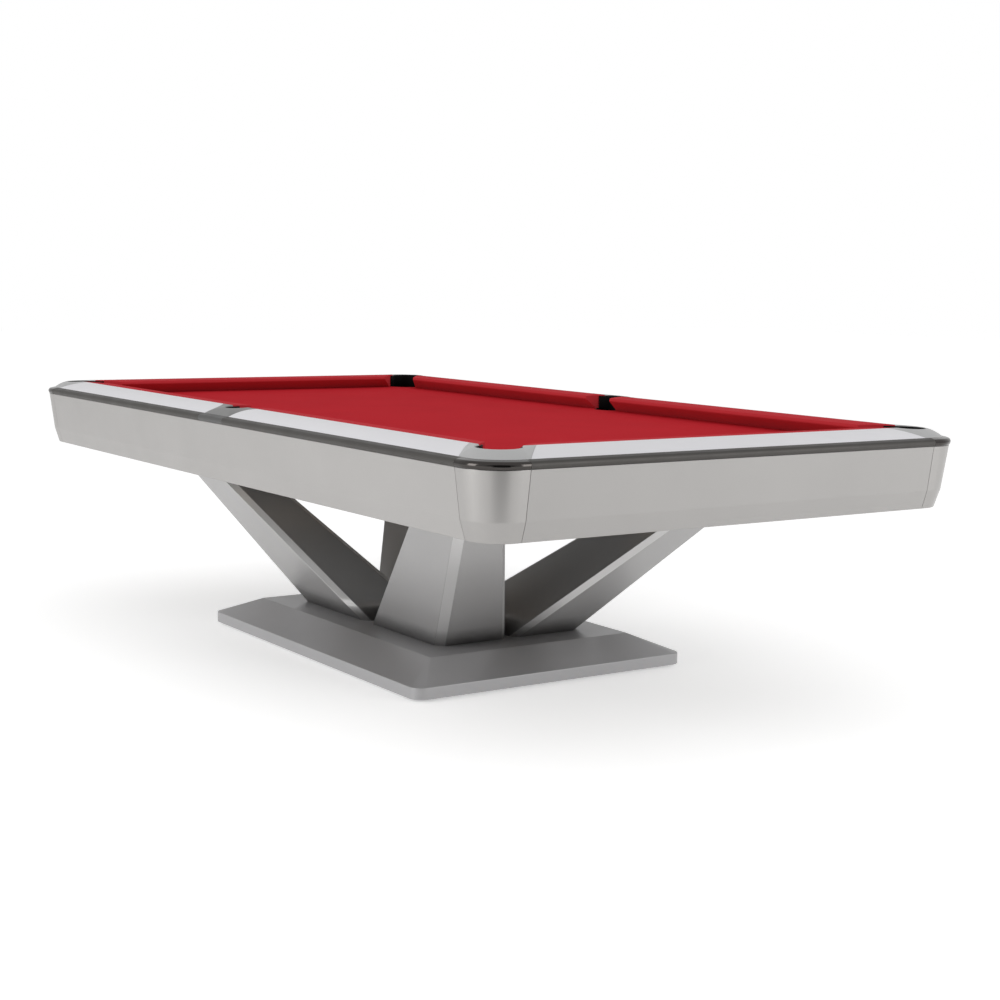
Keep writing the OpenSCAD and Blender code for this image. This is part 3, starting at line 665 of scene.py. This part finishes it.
def pocket_plate(centre, hole_r, first_jaw, outer, away, height):
    """The top of a casting, as a grid. Its rows follow the outer edge from one jaw round to the other,
    and each row is a closed outline that stands on the line from the hole's wall to a point of that
    edge: up the wall, over the lip's quarter circle, along the top, down the edge and back underneath.
    The top starts level at the hole's rim and falls to the outer edge by a power of the distance. The
    rim is at the cushions' height by the jaws, and dips between them by a half sine.
    The hole's points lie at equal steps of angle between its jaws, the long way round."""
    a = np.linspace(first_jaw, 2 * away - first_jaw, len(outer))
    wall = np.asarray(centre) + hole_r * np.stack([np.cos(a), np.sin(a)], axis=1)
    line = outer - wall
    length = np.linalg.norm(line, axis=1, keepdims=True)
    lip_turn = np.linspace(0, np.pi / 2, 6)
    lip = LIP_R * (1 - np.cos(lip_turn))
    drop = LIP_R * (1 - np.sin(lip_turn))
    rest = np.linspace(0, 1, 9)[1:]
    run = np.hstack([0 * length, lip + 0 * length, LIP_R + (length - LIP_R) * rest])
    top = wall[:, None] + (line / length)[:, None] * run[:, :, None]
    edge = height(outer[:, 0], outer[:, 1])[:, None]
    rim = TOP - RIM_DROP * np.sin(np.linspace(0, np.pi, len(outer)))[:, None]
    z = rim - (rim - edge) * (run / length) ** CASTING_FALL
    z[:, 1:1 + len(drop)] -= drop
    z[:, 0] = TRIM_LOW
    foot = np.concatenate([outer[:, None], np.full((len(outer), 1, 1), TRIM_LOW)], axis=-1)
    return np.concatenate([np.concatenate([top, z[..., None]], axis=-1), foot], axis=1)


def corner_height(u, v):
    """Height of a corner casting's top: the rail's, by the distance from the rounded outer edge."""
    return rail_top(CORNER_R - np.hypot(np.maximum(CORNER_R - u, 0), np.maximum(CORNER_R - v, 0)))


def corner_plate():
    """The outer edge runs along the slant, the trim, the round corner, the trim and the other slant."""
    inset = np.linspace(FEATHER_IN, TRIM_IN, 16)
    slant = np.stack([corner_edge(inset), inset], axis=1)
    turn = arc((CORNER_R, CORNER_R), CORNER_R - TRIM_IN, -90, -180, 25)
    straight = np.linspace(slant[-1, 0], CORNER_R, 6)[1:-1]
    along = np.stack([straight, np.full(len(straight), TRIM_IN)], axis=1)
    half = np.vstack([slant, along, turn[:13]])
    outer = np.vstack([half, half[-2::-1, ::-1]])
    jaw = math.atan2(FEATHER_IN - CORNER_POCKET_IN, CORNER_JAW - CORNER_POCKET_IN)
    centre = (CORNER_POCKET_IN, CORNER_POCKET_IN)
    grid = pocket_plate(centre, CORNER_HOLE_R, jaw, outer, math.radians(-135), corner_height)
    return np.stack([HALF_L - grid[..., 0], grid[..., 1] - HALF_W, grid[..., 2]], axis=-1)


def side_plate():
    """The outer edge runs along the flare, the trim and the other flare."""
    inset = np.linspace(FEATHER_IN, TRIM_IN, 22)
    flare = np.stack([side_edge(inset), inset], axis=1)
    straight = np.linspace(SIDE_HALF, 0, 10)[1:]
    along = np.stack([straight, np.full(len(straight), TRIM_IN)], axis=1)
    half = np.vstack([flare, along])
    outer = np.vstack([half, half[-2::-1] * [-1, 1]])
    jaw = math.atan2(FEATHER_IN - SIDE_POCKET_IN, SIDE_JAW)
    grid = pocket_plate((0, SIDE_POCKET_IN), SIDE_HOLE_R, jaw, outer, math.radians(-90),
                        lambda u, v: rail_top(v))
    return grid - [0, HALF_W, 0]


def castings():
    """Each casting is two pieces: its top, and the bullnose edge below it. A side casting's edge has a darker
    copy of its top's grey, which is painted shade.
    """
    top, edge = corner_plate(), corner_run(trim_section(), CASTING_REACH, 40)
    for name, (sx, sy) in CORNERS.items():
        plate = tube(name + "_casting_top", placed(top, sx, sy), casting_metal, "casting_silver",
                     bevel=0.5 * MM)
        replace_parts(plate, "corner_casting_" + name)
        tube(name + "_casting_edge", placed(edge, sx, sy), edge_metal, "trim_gunmetal", bevel=0.5 * MM)
    top, edge = side_plate(), front_run(trim_section(), -SIDE_HALF, SIDE_HALF, 9)
    for name, sy in (("front", -1), ("back", 1)):
        plate = tube(name + "_side_casting_top", placed(top, 1, sy), side_casting_metal, "casting_silver",
                     bevel=0.4 * MM)
        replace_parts(plate, "side_casting_" + name)
        tube(name + "_side_casting_edge", placed(edge, 1, sy), side_edge_painted_shade, "casting_silver",
             bevel=0.4 * MM)


# ---- liners ----


def cup(cup_r, turns=72):
    """A turned cup with a rolled rim, as a grid of its own: mouth up, standing on its middle."""
    inner_r, floor_top = cup_r - LINER_WALL, CUP_LOW + LINER_WALL
    profile = turned([[0, CUP_LOW], [cup_r, CUP_LOW], [cup_r, CUP_RIM], [inner_r, CUP_RIM],
                      [inner_r, floor_top], [0, floor_top]], 1.9 * MM)
    a = np.linspace(0, 2 * np.pi, turns, endpoint=False)
    radius, z = profile.T
    return np.stack([radius[:, None] * np.cos(a), radius[:, None] * np.sin(a), z[:, None] + 0 * a], axis=-1)


def collar(hole_r, chord, spread, ear):
    """A wall carried along a path: in along one cushion's end, round the hole's back from jaw to jaw,
    and out along the other cushion's end. Its mouth faces +X. Each point of the wall's section stands
    off the path along the path's inward normal; at a bend, by more, as a mitre needs."""
    jaw = math.acos(chord / hole_r)
    a = np.linspace(jaw, 2 * np.pi - jaw, 49)
    back = hole_r * np.stack([np.cos(a), np.sin(a)], axis=1)
    along = np.linspace(ear, 0, 7)[:-1, None] * [math.cos(spread), math.sin(spread)]
    path = np.vstack([back[0] + along, back, (back[0] + along)[::-1] * [1, -1]])
    step = np.diff(path, axis=0)
    step /= np.linalg.norm(step, axis=1, keepdims=True)
    normal = np.stack([-step[:, 1], step[:, 0]], axis=1)
    before, after = np.vstack([normal[:1], normal]), np.vstack([normal, normal[-1:]])
    mitre = (before + after) / (1 + (before * after).sum(1, keepdims=True))
    near, far = LINER_SLIP, LINER_SLIP + LINER_WALL
    section = rounded([[near, BED], [near, COLLAR_TOP], [far, COLLAR_TOP], [far, BED]],
                      [0, 1.8 * MM, 1.8 * MM, 0], 6)
    plan = path[:, None] + mitre[:, None] * section[None, :, :1]
    z = np.tile(section[:, 1], (len(path), 1))
    round_back = (path[:, 0] < chord + 1e-6)[:, None] & (z < BED + 1e-6)
    z = np.where(round_back, SLATE_TOP - 1.5 * MM, np.maximum(z, BED + 0.3 * MM))
    return np.concatenate([plan, z[..., None]], axis=-1)


def shoulder(hole_r, cup_r, chord):
    """The ledge between the cup's rim and the collar: a flat ring's section carried round the back."""
    jaw = math.acos(chord / hole_r)
    a = np.linspace(jaw, 2 * np.pi - jaw, 49)[:, None]
    low, high = CUP_RIM - LINER_WALL, CUP_RIM - 0.1 * MM
    near, far = hole_r - LINER_WALL, cup_r - 1 * MM
    section = rounded([[near, low], [near, high], [far, high], [far, low]], 0.5 * MM, 3)
    r, z = section.T
    return np.stack([r * np.cos(a), r * np.sin(a), z + 0 * a], axis=-1)


def liner(name, node, centre, turn, mirror, parts):
    """A liner's shells, turned so that its mouth faces the table and set down at its pocket."""
    c, s = math.cos(turn), math.sin(turn)
    points, faces = [], []
    for grid, caps in parts:
        rows, columns = grid.shape[:2]
        faces += tube_faces(rows, columns, len(points), caps)
        x, y, z = grid.reshape(-1, 3).T
        points += np.stack([centre[0] + x * c - y * s, centre[1] + x * s + y * c, z], axis=1).tolist()
    piece = make_piece(name, placed(np.array(points), *mirror), faces, liner_black, "liner_black")
    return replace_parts(piece, node)


def liners():
    """A cup, a shoulder and a collar make each pocket's liner. The chord is how far from the hole's
    centre its jaws lie, and the spread is the way that the cushions' ends take from there."""
    chord = (CORNER_JAW + FEATHER_IN - 2 * CORNER_POCKET_IN) / math.sqrt(2)
    spread = math.radians(45) - CORNER_CUT
    parts = [(cup(CORNER_CUP_R), "none"), (shoulder(CORNER_HOLE_R, CORNER_CUP_R, chord), "flat"),
             (collar(CORNER_HOLE_R, chord, spread, EAR_REACH / math.sin(CORNER_CUT)), "flat")]
    centre = (HALF_L - CORNER_POCKET_IN, -HALF_W + CORNER_POCKET_IN)
    for name, mirror in CORNERS.items():
        liner(name + "_liner", "liner_" + name, centre, math.radians(135), mirror, parts)
    chord = FEATHER_IN - SIDE_POCKET_IN
    spread = math.radians(90) - SIDE_CUT
    parts = [(cup(SIDE_CUP_R), "none"), (shoulder(SIDE_HOLE_R, SIDE_CUP_R, chord), "flat"),
             (collar(SIDE_HOLE_R, chord, spread, EAR_REACH / math.sin(SIDE_CUT)), "flat")]
    for name, sy in (("front", -1), ("back", 1)):
        liner(name + "_side_liner", "liner_side_" + name, (0, -HALF_W + SIDE_POCKET_IN), math.radians(90),
              (1, sy), parts)


# ---- bed cloth ----


def bed_cloth():
    """One stretched sheet. Its half width at each place along the table is the cloth's own, or what a
    pocket's circle leaves of it; beyond that edge the cloth rolls down over the slate's lip."""
    corner_r, side_r = CORNER_CUP_R + NOTCH_SLIP, SIDE_CUP_R + NOTCH_SLIP
    corner_x, corner_y = HALF_L - CORNER_POCKET_IN, HALF_W - CORNER_POCKET_IN
    side_y = HALF_W - SIDE_POCKET_IN
    side = np.linspace(0, np.pi / 2, 16)
    between = np.linspace(side_r + 0.5 * MM, corner_x - corner_r - 0.5 * MM, 40)
    corner = np.linspace(-np.pi / 2, math.asin((CLOTH_X - corner_x) / corner_r), 26)
    x = np.concatenate([side_r * np.sin(side), between, corner_x + corner_r * np.sin(corner)])
    y = np.concatenate([side_y - side_r * np.cos(side), np.full(len(between), CLOTH_Y),
                        corner_y - corner_r * np.cos(corner)])
    notch = np.concatenate([np.ones(len(side)), np.zeros(len(between)), np.ones(len(corner))])
    x, y, notch = (np.concatenate([sign * a[:0:-1], a]) for sign, a in ((-1, x), (1, y), (1, notch)))
    q = np.linspace(0, np.pi / 2, 5)
    roll, skirt = 2.5 * MM, 16 * MM
    out = np.concatenate([-roll + roll * np.sin(q), [0]])
    down = np.concatenate([roll * (1 - np.cos(q)), [skirt]])
    t = np.linspace(-1, 1, 41)[1:-1]
    inner = (y - roll)[:, None] * t
    edge_y = y[:, None] + out - 0.3 * MM * notch[:, None]
    edge_z = BED - down * notch[:, None]
    ys = np.hstack([-edge_y[:, ::-1], inner, edge_y])
    zs = np.hstack([edge_z[:, ::-1], np.full_like(inner, BED), edge_z])
    grid = np.stack([x[:, None] + 0 * ys, ys, zs], axis=-1)
    rows, columns = grid.shape[:2]
    i, j = np.meshgrid(np.arange(rows - 1), np.arange(columns - 1), indexing="ij")
    a = i * columns + j
    faces = np.stack([a, a + columns, a + columns + 1, a + 1], axis=-1).reshape(-1, 4).tolist()
    cloth = make_piece("stretched_bed_cloth", grid, faces, bed_red, "bed_cloth", weighted=False)
    wall = cloth.modifiers.new("cloth_thickness", "SOLIDIFY")
    wall.thickness, wall.offset = BED - SLATE_TOP, -1
    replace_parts(cloth, "bed_cloth")


# ---- the table ----

floor_plate()
for corner_name in CORNERS:
    leg(corner_name)
    foot_pad(corner_name)
    foot_stud(corner_name)
aprons()
trims()
rails()
cushions()
castings()
liners()
bed_cloth()

slate = slate_stone()
long_timber, cross_timber = sawn_timber("sawn_long_beams", "X"), sawn_timber("sawn_cross_beams", "Y")
kept = {"slate_left": slate, "slate_middle": slate, "slate_right": slate,
        "frame_beam_front": long_timber, "frame_beam_back": long_timber, "cross_beams": cross_timber,
        "leg_bolts": zinc, "slate_screws": zinc}
for node_name, material in kept.items():
    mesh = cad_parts[node_name].data
    mesh.materials.clear()
    mesh.materials.append(material)

# ---- floor, light and camera ----

WHITE = (1.0, 1.0, 1.0, 1.0)


def studio_plane(name, points, finish):
    """A flat face of the studio, from its four corners in order."""
    mesh = bpy.data.meshes.new(name)
    mesh.from_pydata(points, [], [(0, 1, 2, 3)])
    mesh.materials.append(finish.material)
    plane = bpy.data.objects.new(name, mesh)
    bpy.context.scene.collection.objects.link(plane)
    return plane


FLOOR_HALF = 30.0
floor_corners = [(sx * FLOOR_HALF, sy * FLOOR_HALF, 0) for sx, sy in ((-1, -1), (1, -1), (1, 1), (-1, 1))]
floor_finish = Finish("pale_floor", 0.9, Base_Color=(0.93, 0.93, 0.93, 1), Emission_Color=WHITE,
                      Emission_Strength=0.36)
studio_plane("studio_floor", floor_corners, floor_finish)

# A black card between the camera and the near corner, seen only in reflections, shapes the highlights
# on the polished edge and the corner's cover.
CARD_AT, CARD_TURN, CARD_WIDE, CARD_HIGH = Vector((3.1, -1.5, 0)), math.radians(65), 1.5, 1.6
reach = CARD_WIDE / 2 * Vector((math.cos(CARD_TURN), math.sin(CARD_TURN), 0))
card_feet = (CARD_AT - reach, CARD_AT + reach)
lift = Vector((0, 0, CARD_HIGH))
card_finish = Finish("matte_black_card", 1.0, Base_Color=(0.01, 0.01, 0.01, 1), Specular_IOR_Level=0)
card = studio_plane("black_card", [*card_feet, card_feet[1] + lift, card_feet[0] + lift], card_finish)
card.visible_camera = card.visible_diffuse = card.visible_shadow = card.visible_transmission = False


def area_light(name, place, towards, width, height, power):
    """A soft rectangular light that faces a point."""
    light = bpy.data.lights.new(name, "AREA")
    light.shape, light.size, light.size_y, light.energy = "RECTANGLE", width, height, power
    lamp = bpy.data.objects.new(name, light)
    place, towards = Vector(place), Vector(towards)
    turn = (towards - place).to_track_quat("-Z", "Y").to_matrix().to_4x4()
    lamp.matrix_world = Matrix.Translation(place) @ turn
    bpy.context.scene.collection.objects.link(lamp)


area_light("front_soft_light", (0.4, -5.4, 2.0), (0.4, 0, 0.6), 2.0, 3.4, 105)
area_light("right_soft_light", (5.4, 2.8, 2.0), (0, 0.5, 0.6), 2.0, 3.4, 88)

# The walls are white, apart from a dim stretch behind the camera that shows in the polished corners.
DIM_SIDE = (0.906, -0.423, 0.0)
world = bpy.data.worlds.new("white_studio")
world.use_nodes = True
bpy.context.scene.world = world
nodes, links = world.node_tree.nodes, world.node_tree.links
background = nodes["Background"]
background.inputs["Color"].default_value = WHITE
direction = nodes.new("ShaderNodeTexCoord").outputs["Generated"]
facing = nodes.new("ShaderNodeVectorMath")
facing.operation = "DOT_PRODUCT"
facing.inputs[1].default_value = DIM_SIDE
links.new(direction, facing.inputs[0])
wall = nodes.new("ShaderNodeMapRange")
wall.interpolation_type = "SMOOTHSTEP"
for socket, value in {"From Min": 0.68, "From Max": 0.93, "To Min": 0.75, "To Max": 0.02}.items():
    wall.inputs[socket].default_value = value
links.new(facing.outputs["Value"], wall.inputs["Value"])
seen = nodes.new("ShaderNodeLightPath")
level = nodes.new("ShaderNodeMix")
level.inputs["B"].default_value = 1.0
links.new(seen.outputs["Is Camera Ray"], level.inputs["Factor"])
links.new(wall.outputs["Result"], level.inputs["A"])
links.new(level.outputs["Result"], background.inputs["Strength"])

CAMERA_AT = Vector((4.5591, -2.9342, 1.1679))
CAMERA_YAW, CAMERA_PITCH, CAMERA_ROLL = math.radians(56.287), math.radians(-7.327), math.radians(0.98)
LENS, SENSOR, SHIFT = 61.16, 36, 0.0334
level_x, level_y = -math.sin(CAMERA_YAW), math.cos(CAMERA_YAW)
forward = Vector((level_x * math.cos(CAMERA_PITCH), level_y * math.cos(CAMERA_PITCH), math.sin(CAMERA_PITCH)))
right = Vector((level_y, -level_x, 0))
up = right.cross(forward)
rolled_right = right * math.cos(CAMERA_ROLL) + up * math.sin(CAMERA_ROLL)
rolled_up = up * math.cos(CAMERA_ROLL) - right * math.sin(CAMERA_ROLL)
view = bpy.data.cameras.new("view")
view.lens, view.sensor_width, view.shift_x = LENS, SENSOR, SHIFT
camera = bpy.data.objects.new("view", view)
camera.matrix_world = Matrix((rolled_right, rolled_up, -forward)).transposed().to_4x4()
camera.location = CAMERA_AT
bpy.context.scene.collection.objects.link(camera)
bpy.context.scene.camera = camera
bpy.context.scene.view_settings.view_transform = "Standard"
